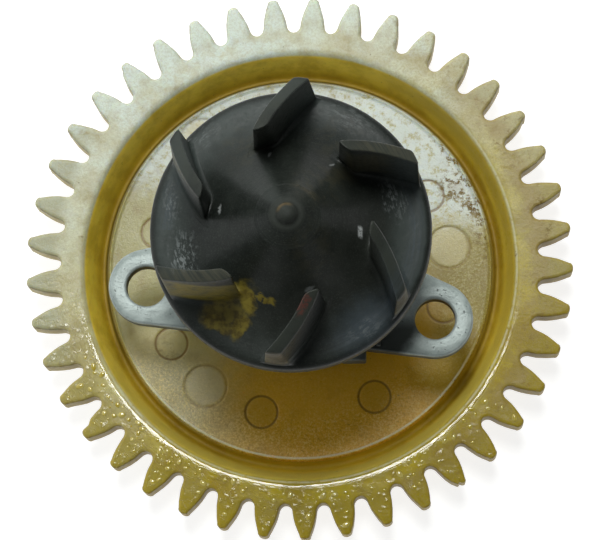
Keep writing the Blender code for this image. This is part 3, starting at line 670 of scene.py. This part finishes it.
def metal_surface(name, light, dark, rough, grain=1.0):
    """Machined metal: turning lines, uneven tone and fine scratches."""
    s = Surface(name, metallic=1.0)
    mottle = s.noise(0.9, 4, 0.6)
    fine = s.noise(6.0 * grain, 3, 0.7)
    lines = s.noise(14.0 * grain, 3, 0.7, at=s.combined(s.radius, s.z))
    color = s.layered(s.mix(s.step(mottle, 0.3, 0.72), dark, light),
                      (dark, s.step(lines, 0.5, 0.7), 0.35))
    s.set(base_color=color, roughness=s.line(fine, 0.2, rough - 0.08))
    s.bump((lines, 0.008), (fine, 0.006))
    return s.material


def soft_surface(name, light, dark, rough, scale=1.0, depth=0.03, **inputs):
    """Rubber, ceramic, carbon or plain polyamide: mottled, grained and slightly dusty."""
    s = Surface(name, **inputs)
    mottle = s.noise(0.7 * scale, 4, 0.6)
    fine = s.noise(5.0 * scale, 4, 0.7)
    color = s.layered(s.mix(s.step(mottle, 0.3, 0.7), dark, light),
                      (tuple(0.5 * c + 0.08 for c in light), s.step(fine, 0.6, 0.8), 0.4))
    s.set(base_color=color, roughness=s.line(fine, 0.24, rough - 0.1))
    s.bump((mottle, depth), (fine, depth * 0.6))
    return s.material


ground_steel = metal_surface("ground_steel", (0.62, 0.62, 0.62), (0.4, 0.39, 0.37), 0.27)
spring_steel = metal_surface("blackened_spring_steel", (0.13, 0.13, 0.14), (0.06, 0.055, 0.055), 0.36)
bearing_steel = metal_surface("bearing_steel", (0.72, 0.72, 0.73), (0.55, 0.55, 0.55), 0.16, 1.6)
brass = metal_surface("turned_brass", (0.72, 0.52, 0.2), (0.48, 0.31, 0.1), 0.26)
bronze = metal_surface("sintered_bronze", (0.5, 0.32, 0.14), (0.28, 0.16, 0.06), 0.46)
rubber = soft_surface("nitrile_rubber", (0.03, 0.03, 0.031), (0.014, 0.014, 0.015), 0.55)
ceramic = soft_surface("white_ceramic", (0.8, 0.78, 0.71), (0.68, 0.65, 0.56), 0.22, 1.0, 0.006)
carbon = soft_surface("carbon_graphite", (0.05, 0.05, 0.054), (0.026, 0.026, 0.028), 0.42, 2.0, 0.01)
polyamide = soft_surface("cage_polyamide", (0.72, 0.68, 0.54), (0.55, 0.48, 0.32), 0.45, 1.0, 0.02,
                         subsurface_weight=0.2, subsurface_scale=0.8 * MM)


# ---- gear

def gear_outline():
    """x, y and even angle of each column round the teeth, starting mid-gap."""
    base_r = PITCH_R * math.cos(PRESSURE_ANGLE)

    def flank(radius):
        lean = math.acos(base_r / radius)
        level = math.tan(PRESSURE_ANGLE) - PRESSURE_ANGLE
        return TOOTH_HALF_ANGLE + level - math.tan(lean) + lean

    half_pitch = math.pi / TEETH
    quarter = np.linspace(0, math.pi / 2, 6)
    half = [(ROOT_R + (FOOT_R - ROOT_R) * (1 - math.cos(t)),
             half_pitch - (half_pitch - flank(FOOT_R)) * math.sin(t)) for t in quarter[:-1]]
    half += [(r, flank(r)) for r in np.linspace(FOOT_R, CROWN_START_R, 5)[:-1]]
    half += [(CROWN_START_R + (TIP_R - CROWN_START_R) * math.sin(t),
              flank(CROWN_START_R) * math.cos(t)) for t in quarter]
    tooth = [(r, -a) for r, a in half] + [(r, a) for r, a in half[-2:0:-1]]
    points, even = [], []
    for index in range(TEETH):
        for k, (r, a) in enumerate(tooth):
            angle = 2 * half_pitch * index + a + TOOTH_PHASE
            points.append((r * math.cos(angle), r * math.sin(angle)))
            even.append(2 * half_pitch * (index - 0.5 + k / len(tooth)) + TOOTH_PHASE)
    points = np.array(points)
    tangent = np.roll(points, -1, 0) - np.roll(points, 1, 0)
    normal = np.stack([tangent[:, 1], -tangent[:, 0]], 1)
    normal /= np.linalg.norm(normal, axis=1)[:, None]
    for i, (x, y) in enumerate(points.copy()):
        inset = 0.05 + 0.05 * wobble(x, y, 0, 0.25) + 0.03 * wobble(x, y, 5, 1.1)
        for nick_x, nick_y, reach, depth in NICKS:
            inset += depth * math.exp(-((x - nick_x) ** 2 + (y - nick_y) ** 2) / reach ** 2)
        points[i] -= normal[i] * inset
    return points, normal, np.array(even)


def ring_row(radius, height, even):
    return np.stack([radius * np.cos(even), radius * np.sin(even), np.full(len(even), height)], 1)


def gear_shape():
    outline, normal, even = gear_outline()
    front_edge = [(EDGE * (1 - math.sin(t)), FACE_WIDTH - EDGE * (1 - math.cos(t)))
                  for t in np.linspace(0, math.pi / 2, 5)]
    rows = [ring_row(r, z, even) for r, z in (
        # bore and hub
        [(BORE_R, 3.05), (BORE_R, 3.4), (BORE_R, SLOT_FLOOR), (BORE_R, 7.8), (4.45, FACE_WIDTH)]
        + [(r, FACE_WIDTH) for r in (4.8, 5.2, 5.6, 6.0)]
        + [(HUB_R, 7.8), (HUB_R, SLOT_FLOOR), (HUB_R, 4.6), (6.35, 4.25), (6.7, WEB_TOP)]
        # web and the bead along its edge
        + [(r, WEB_TOP) for r in (8, 10, 12, 14, 16)]
        + [(r, WEB_TOP) for r in np.arange(17.0, 26.0, 0.2)]
        + [(26.05, 4.11), (26.14, 4.15), (26.22, 4.2), (26.3, 4.22), (26.38, 4.2), (26.46, 4.12)]
        # groove, then the rim
        + [(26.56, 3.92), (26.72, 3.3), (26.95, 2.68), (27.1, 2.47), (27.3, 2.4), (27.5, 2.43),
           (27.75, 2.62), (27.95, 3.02), (28.3, 3.75), (28.62, 4.78), (28.95, 5.85), (29.22, 6.75),
           (29.38, 7.2), (29.54, 7.5), (29.72, 7.73), (29.94, 7.88), (30.2, 7.97), (30.5, 8.0)]
        + [(r, FACE_WIDTH) for r in (30.9, 31.3, 31.7, BODY_R)])]

    def tooth_rows(height, shares):
        """Rows from the round body to the outline, less its rounded edge."""
        inner = ring_row(BODY_R, height, even)
        outer = np.column_stack([outline - normal * EDGE, np.full(len(even), height)])
        return [inner + (outer - inner) * share for share in shares]

    rows += tooth_rows(FACE_WIDTH, (0.15, 0.3, 0.45, 0.6, 0.75, 0.88))
    walls = front_edge + [(0.0, z) for z in (7.0, 6.2, 5.4, 4.6)]
    walls += [(inset, TOOTH_BACK + FACE_WIDTH - z) for inset, z in reversed(front_edge)]
    rows += [np.column_stack([outline - normal * inset, np.full(len(even), z)]) for inset, z in walls]
    rows += tooth_rows(TOOTH_BACK, (0.75, 0.5, 0.25, 0.0))
    rows += [ring_row(r, z, even) for r, z in (
        (31.75, TOOTH_BACK - 0.04), (31.63, TOOTH_BACK - 0.16), (RIM_R, TOOTH_BACK - 0.4),
        (RIM_R, 1.8), (RIM_R, 0.4), (31.5, 0.12), (31.25, 0.0), (30.0, 0.0), (28.0, 0.0), (26.1, 0.0),
        (25.8, 0.06), (25.66, 0.22), (25.0, 1.35), (24.85, 1.54),
        *((r, WEB_BACK) for r in (24.6, 22, 19, 16, 13, 10, 8.1)),
        (7.75, 1.68), (7.6, 1.9), (7.6, 3.05), (6.5, 3.05), (5.2, 3.05))]
    rows = np.array(rows)
    x, y, z = rows[..., 0], rows[..., 1], rows[..., 2]
    radius = np.hypot(x, y)
    z[(np.abs(y) < SLOT_HALF_WIDTH) & (radius < HUB_R + 0.1) & (z > SLOT_FLOOR)] = SLOT_FLOOR
    web = (radius > 16.5) & (radius < 26.3) & (z > 3.9)
    for mark_x, mark_y, reach in SMALL_MARKS + LARGE_MARKS:
        gap = np.hypot(x - mark_x, y - mark_y)
        ring = np.clip(1 - ((gap - reach) / 0.26) ** 2, 0, 1) ** 1.5
        dish = np.clip((reach - gap) / 0.3, 0, 1)
        z -= web * (RING_DEPTH * ring + DISH_DEPTH * dish)
    for spot in zip(*np.nonzero(web | ((z > 7.9) & (radius > 30)))):
        z[spot] -= 0.03 + 0.045 * wobble(x[spot], y[spot], 0, 0.22)
    return lattice(rows)


def droplet_shape():
    """Domed beads of oil on the lower part of the rim and its teeth."""
    rng = np.random.default_rng(41)
    beads = []
    while len(beads) < OIL_BEADS:
        angle = math.radians(rng.uniform(203, 325))
        radius = rng.uniform(30.7, 36.6)
        size = rng.uniform(0.13, 0.42)
        tooth = ((angle - TOOTH_PHASE) * TEETH / (2 * math.pi) + 0.5) % 1 - 0.5
        if radius > 32.0 and abs(tooth) > 0.3 - 0.2 * (radius - 32.0) / 4.6 - size / 5:
            continue
        if rng.uniform() > (1.0 if angle < math.radians(243) else 0.22):
            continue
        at = radius * math.cos(angle), radius * math.sin(angle)
        if any(math.dist(at, bead[:2]) < 1.2 * (size + bead[2]) for bead in beads):
            continue
        beads.append((*at, size, rng.uniform(1, 1.7), rng.uniform(0, math.pi)))
    shapes = []
    for x, y, size, stretch, turn in beads:
        rows = []
        for level in np.linspace(0, 1, 6):
            spread = math.cos(level * math.pi / 2) ** 0.8
            ring = []
            for a in np.linspace(0, 2 * math.pi, 16, endpoint=False):
                u, v = size * stretch * spread * math.cos(a), size * spread * math.sin(a)
                ring.append((x + u * math.cos(turn) - v * math.sin(turn),
                             y + u * math.sin(turn) + v * math.cos(turn),
                             FACE_WIDTH - 0.1 + (0.04 + 0.32 * size) * math.sin(level * math.pi / 2)))
            rows.append(ring)
        base = [[(x, y, FACE_WIDTH - 0.13)] * 16]
        shapes.append(lattice(base + rows, False))
    return joined(*shapes)


# ---- impeller

DISC_FRONT = ([(0, 49.0), (0.45, 48.97), (0.85, 48.83), (1.12, 48.6), (1.28, 48.32), (1.38, 48.06),
               (1.52, 47.94), (1.85, 47.86), (2.1, 47.78), (2.26, 47.62)]
              + smooth_line([(2.32, 47.56), (3.2, 46.85), (4.12, 46.1)], 3)
              + [(4.2, 46.07), (4.27, 45.98)]
              + smooth_line([(4.31, 45.93), (5.8, 44.2), (7.4, 42.4), (9.2, 40.35), (10.9, 38.7),
                             (12.6, 37.5), (14.5, 36.85), (16.6, 36.52)], 4)
              + [(17.3, 36.44), (17.7, 36.28), (17.98, 36.02), (18.12, 35.75), (DISC_R, 35.45)])


def disc_height(radius):
    r, z = zip(*DISC_FRONT)
    return np.interp(radius, r, z)


def blade_shape(index):
    """Blade with a rounded top edge, drafted walls and a fillet that runs onto the disc."""
    turn = np.linspace(0, math.pi / 2, 7)
    inner_s, outer_s = 0.085, 0.045
    share = np.concatenate([inner_s * (1 - np.cos(turn) ** 0.75),
                            np.linspace(inner_s, 1 - outer_s, 14)[1:-1],
                            1 - outer_s * (1 - np.cos(turn[::-1]) ** 0.6)])
    side = np.concatenate([np.sin(turn) ** 0.75, np.ones(12), np.sin(turn[::-1]) ** 0.6])
    end = np.concatenate([-np.cos(turn), np.zeros(12), np.cos(turn[::-1])])
    share = np.concatenate([share, share[-2:0:-1]])
    side = np.concatenate([side, -side[-2:0:-1]])
    end = np.concatenate([end, end[-2:0:-1]])
    length = BLADE_R[1] - BLADE_R[0]

    def row(spread, height_rule):
        reach = np.where((end > 0) & (spread > 0), 0.0, spread)
        s = share + end * reach / length
        radius = BLADE_R[0] + length * s
        top = BLADE_TOP[0] + (BLADE_TOP[1] - BLADE_TOP[0]) * s
        z = height_rule(disc_height(np.minimum(radius, 18.0)), top)
        up = np.clip((z - BLADE_ROOT_Z) / (top - BLADE_ROOT_Z), 0, 1)
        half = BLADE_HALF_WIDTH[1] + (BLADE_HALF_WIDTH[0] - BLADE_HALF_WIDTH[1]) * up
        middle = BLADE_ANGLE[0] + (BLADE_ANGLE[1] - BLADE_ANGLE[0]) * s - BLADE_BOW * 4 * s * (1 - s)
        angle = np.radians(middle - 60 * index) + side * (half + spread) / radius
        uneven = np.array([wobble(a, r, index, 1.3) for a, r in zip(middle, radius)])
        z = z + 0.05 * uneven * (up > 0.9)
        return np.stack([radius * np.cos(angle), radius * np.sin(angle), z], 1)

    rows = [row(BLADE_FILLET + 0.03, lambda foot, top: foot - 0.06)]
    for t in np.linspace(0, math.pi / 2, 6):
        spread, rise = BLADE_FILLET * (1 - math.sin(t)), BLADE_FILLET * (1 - math.cos(t))
        rows.append(row(spread, lambda foot, top: foot + rise))
    for part in (0.25, 0.5, 0.75):
        rows.append(row(0.0, lambda foot, top: foot + BLADE_FILLET
                        + (top - BLADE_EDGE - foot - BLADE_FILLET) * part))
    for t in np.linspace(0, math.pi / 2, 5):
        rows.append(row(-BLADE_EDGE * (1 - math.cos(t)),
                        lambda foot, top: top - 0.06 - BLADE_EDGE * (1 - math.sin(t))))
    points, faces = lattice(rows, False)
    around = len(share)
    tips = around // 2
    for first in (0, (len(rows) - 1) * around):
        for k in range(tips):
            other = [(around - k) % around, (around - k - 1) % around]
            face = dict.fromkeys([first + k, first + k + 1, first + other[1], first + other[0]])
            faces.append(list(face))
    return points, faces


def impeller_shape():
    rim_and_back = [(DISC_R, 34.6), (DISC_R, 33.7), (18.09, 33.42), (17.9, 33.25), (17.6, 33.2),
                    (14, 33.2), (9.4, 33.2), (9.18, 33.26), (9.1, 33.45), (9.1, 37.2), (4.9, 37.2),
                    (4.9, 43.3), (0, 43.3)]
    disc = revolved(DISC_FRONT + rim_and_back, 168, False)
    return joined(disc, *[blade_shape(i) for i in range(BLADES)])


# ---- flange

def arc(x, y, radius, start, end, steps):
    return [(x + radius * math.cos(a), y + radius * math.sin(a))
            for a in np.radians(np.linspace(start, end, steps + 1))]


def flange_outline():
    """Two ears on straight arms, a straight lower edge, and a round crown with fillets."""
    left, right = EAR_ANGLES
    (left_x, left_y), (right_x, right_y) = EARS
    lower = math.degrees(math.atan2(right_y - left_y, right_x - left_x)) - 90
    spread, fillet = math.degrees(math.asin(EAR_R / CROWN_R)), 8.0
    points = arc(left_x, left_y, EAR_R, left - 90, lower + 360, 36)
    points += arc(right_x, right_y, EAR_R, lower, right + 90 - 360, 36)
    fillets = []
    for arm, side in ((right, 1), (left, -1)):
        corner, along, end = (np.array((r * math.cos(a), r * math.sin(a))) for r, a in (
            (CROWN_R, math.radians(arm + side * spread)), (2.5, math.radians(arm)),
            (CROWN_R, math.radians(arm + side * (spread + fillet)))))
        fillets.append([tuple((1 - t) ** 2 * (corner + along) + 2 * t * (1 - t) * corner
                              + t * t * end)
                        for t in np.linspace(0, 1, 8)[:-1]])
    crown = arc(0, 0, CROWN_R, right + spread + fillet - 360, left - spread - fillet, 48)
    return points + fillets[0] + crown + fillets[1][::-1]


def circle(x, y, radius, steps):
    return [(x + radius * math.cos(a), y + radius * math.sin(a))
            for a in np.linspace(0, 2 * math.pi, steps, endpoint=False)]


def plate_shape(loops, low, high, edge):
    """Flat plate with holes and rounded edges."""
    curve = bpy.data.curves.new("plate", "CURVE")
    curve.dimensions = "2D"
    curve.fill_mode = "BOTH"
    curve.extrude = (high - low) / 2 * MM - edge * MM
    curve.bevel_depth = edge * MM
    curve.bevel_resolution = 3
    curve.offset = -edge * MM
    for loop in loops:
        spline = curve.splines.new("POLY")
        spline.points.add(len(loop) - 1)
        for point, (x, y) in zip(spline.points, loop):
            point.co = (x * MM, y * MM, 0.0, 1.0)
        spline.use_cyclic_u = True
    guide = new_object("plate", curve)
    bpy.context.view_layer.update()
    mesh = bpy.data.meshes.new_from_object(guide.evaluated_get(bpy.context.evaluated_depsgraph_get()))
    points = np.array([v.co for v in mesh.vertices]) / MM + (0, 0, (low + high) / 2)
    faces = [list(p.vertices) for p in mesh.polygons]
    bpy.data.objects.remove(guide, do_unlink=True)
    bpy.data.meshes.remove(mesh)
    return points, faces


def block_shape(low, high, edge):
    """Box with rounded edges."""
    bm = bmesh.new()
    bmesh.ops.create_cube(bm, size=1.0)
    for v in bm.verts:
        v.co = [a + (b - a) * (c + 0.5) for a, b, c in zip(low, high, v.co)]
    bmesh.ops.bevel(bm, geom=bm.edges[:], offset=edge, segments=3, profile=0.5, affect="EDGES")
    bm.verts.index_update()
    shape = [tuple(v.co) for v in bm.verts], [[v.index for v in f.verts] for f in bm.faces]
    bm.free()
    return shape


def flange_shape():
    holes = [circle(x, y, EAR_HOLE_R, 48) for x, y in EARS]
    plate = plate_shape([flange_outline()] + holes + [circle(0, 0, 12.0, 72)], *PLATE_Z, 0.36)
    housing = revolved(rounded([
        (9.4, 31.2, 0.25), (11.4, 31.2, 0.3), (11.9, 30.7, 0.3), (12.25, 18.3, 0.9),
        (13.15, 17.35, 0.15), (13.15, 16.3, 0.1), (13.6, 16.1, 0.2), (13.6, 13.0, 0.2),
        (12.4, 13.0, 0.15), (12.4, 10.6, 0.15),
        (13.6, 10.6, 0.2), (13.6, 5.9, 0.25), (13.1, 5.4, 0.25), (11.5, 5.4, 0.2),
        (11.3, 5.7, 0.1), (11.3, 6.8, 0), (12.0, 6.8, 0), (12.0, 8.2, 0), (11.3, 8.2, 0),
        (11.3, 15.6, 0), (7.4, 15.6, 0), (7.4, 21.9, 0), (9.4, 21.9, 0)]), 144)
    lug = block_shape((6.0, -14.4, 13.2), (9.3, -9.0, 16.9), 0.3)
    rib = block_shape((10.7, -12.6, 16.6), (11.3, -6.0, 18.0), 0.2)
    return joined(plate, housing, lug, rib)


def o_ring_shape():
    profile = [(13.45 + 0.8 * math.cos(a), 11.8 + 0.8 * math.sin(a))
               for a in np.linspace(0, 2 * math.pi, 24, endpoint=False)]
    return revolved(profile, 144)


# ---- pieces

new_piece("gear_moulding", gear_shape(), nylon_surface(), "rotor", ["drive_gear"], 40)
new_piece("gear_oil_beads", droplet_shape(), oil_surface(), "rotor", (), 70)
new_piece("impeller_moulding", impeller_shape(), black_plastic_surface(), "rotor",
          ["impeller"], 40)
new_piece("flange_casting", flange_shape(), casting_surface(), "housing",
          ["mounting_flange"], 38)
new_piece("housing_o_ring", o_ring_shape(), rubber, "housing", ["spigot_o_ring"])

CAD_MATERIALS = (
    (ground_steel, ("drive_shaft", "drive_pin", "gear_thrust_washer", "oil_seal_case",
                    "oil_seal_spring", "coolant_seal_cup", "coolant_seal_spring")),
    (spring_steel, ("gear_circlip", "bearing_circlip")),
    (bearing_steel, ("bearing_inner_ring", "bearing_outer_ring",
                     *(f"bearing_ball_{i}" for i in range(1, 8)))),
    (rubber, ("oil_seal_lip", "coolant_seal_bellows", "seat_boot")),
    (polyamide, ("bearing_cage",)), (bronze, ("shaft_bush",)), (carbon, ("carbon_face_ring",)),
    (brass, ("impeller_insert",)), (ceramic, ("ceramic_seat",)))
for material, nodes in CAD_MATERIALS:
    for node in nodes:
        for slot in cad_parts[node].material_slots:
            slot.link = "OBJECT"
            slot.material = material


# ---- floor, light and camera

def make_floor():
    ticks = np.linspace(-FLOOR_HALF, FLOOR_HALF, 25)
    points = [(x, y, FLOOR_Z) for y in ticks for x in ticks]
    count = len(ticks)
    faces = [(j * count + i, j * count + i + 1, (j + 1) * count + i + 1, (j + 1) * count + i)
             for j in range(count - 1) for i in range(count - 1)]
    s = Surface("pale_floor", roughness=0.9, specular_ior_level=0.1, emission_color=(1.0, 1.0, 1.0))
    # painted light: the floor glows, most strongly near the object, lighting it from below and paling
    # its shadow
    s.set(base_color=s.mix(s.noise(0.02, 3), (0.4, 0.4, 0.4), (0.43, 0.43, 0.43)),
          emission_strength=s.step(s.radius, 70, 260, 0.82, 0.1))
    mesh = bpy.data.meshes.new("floor")
    mesh.from_pydata([(x * MM, y * MM, z * MM) for x, y, z in points], [], faces)
    mesh.materials.append(s.material)
    floor = new_object("floor", mesh)


def area_light(name, direction, distance, size, radiance, color=(1, 1, 1)):
    """Rectangular soft light that faces the object, of a given brightness to look at."""
    lamp = bpy.data.lights.new(name, "AREA")
    lamp.shape = "RECTANGLE"
    lamp.size, lamp.size_y = size
    lamp.energy = radiance * math.pi * size[0] * size[1]
    lamp.color = color
    obj = new_object(name, lamp)
    way = Vector(direction).normalized()
    obj.location = way * distance + Vector((0, 0, 0.008))
    obj.rotation_euler = way.to_track_quat("Z", "Y").to_euler()
    return obj


def make_world():
    """Pale sky, darker overhead, and brighter from the left and behind."""
    world = bpy.data.worlds.new("studio")
    world.use_nodes = True
    n = Nodes(world.node_tree)
    background = next(node for node in n.tree.nodes if node.type == "BACKGROUND")
    toward = n.new("ShaderNodeTexCoord").outputs["Generated"]
    dome = n.new("ShaderNodeValToRGB", n.parts(toward)[2])
    for stop, at, tone in zip(dome.color_ramp.elements, (0.55, 0.93),
                              ((0.7, 0.73, 0.74, 1.0), (0.1, 0.1, 0.1, 1.0))):
        stop.position, stop.color = at, tone
    n.put(dome.outputs[0], background.inputs["Color"])
    side = n.vector("DOT_PRODUCT", toward, (-0.8, 0.6, 0.0))
    n.put(n.step(side, -0.2, 1.0, 0.25, 1.8), background.inputs["Strength"])
    bpy.context.scene.world = world


make_floor()
make_world()
area_light("softbox", (-0.03, 0.34, 1.0), 0.95, (0.27, 0.3), 19.5, (0.97, 1.0, 0.98))
area_light("back_fill", (-0.25, 1.0, 0.75), 1.1, (0.7, 0.35), 1.6)

camera = new_object("camera", bpy.data.cameras.new("camera"))
camera.location = Vector(CAMERA_PLACE) * MM
back = (camera.location - Vector(CAMERA_AIM) * MM).normalized()
right = Vector((0, 1, 0)).cross(back).normalized()
camera.rotation_euler = Matrix((right, back.cross(right), back)).transposed().to_euler()
camera.data.lens = CAMERA_LENS
camera.data.sensor_width = CAMERA_SENSOR
camera.data.clip_start = 0.01
camera.data.clip_end = 20.0
bpy.context.scene.camera = camera
bpy.context.scene.view_settings.view_transform = "Standard"
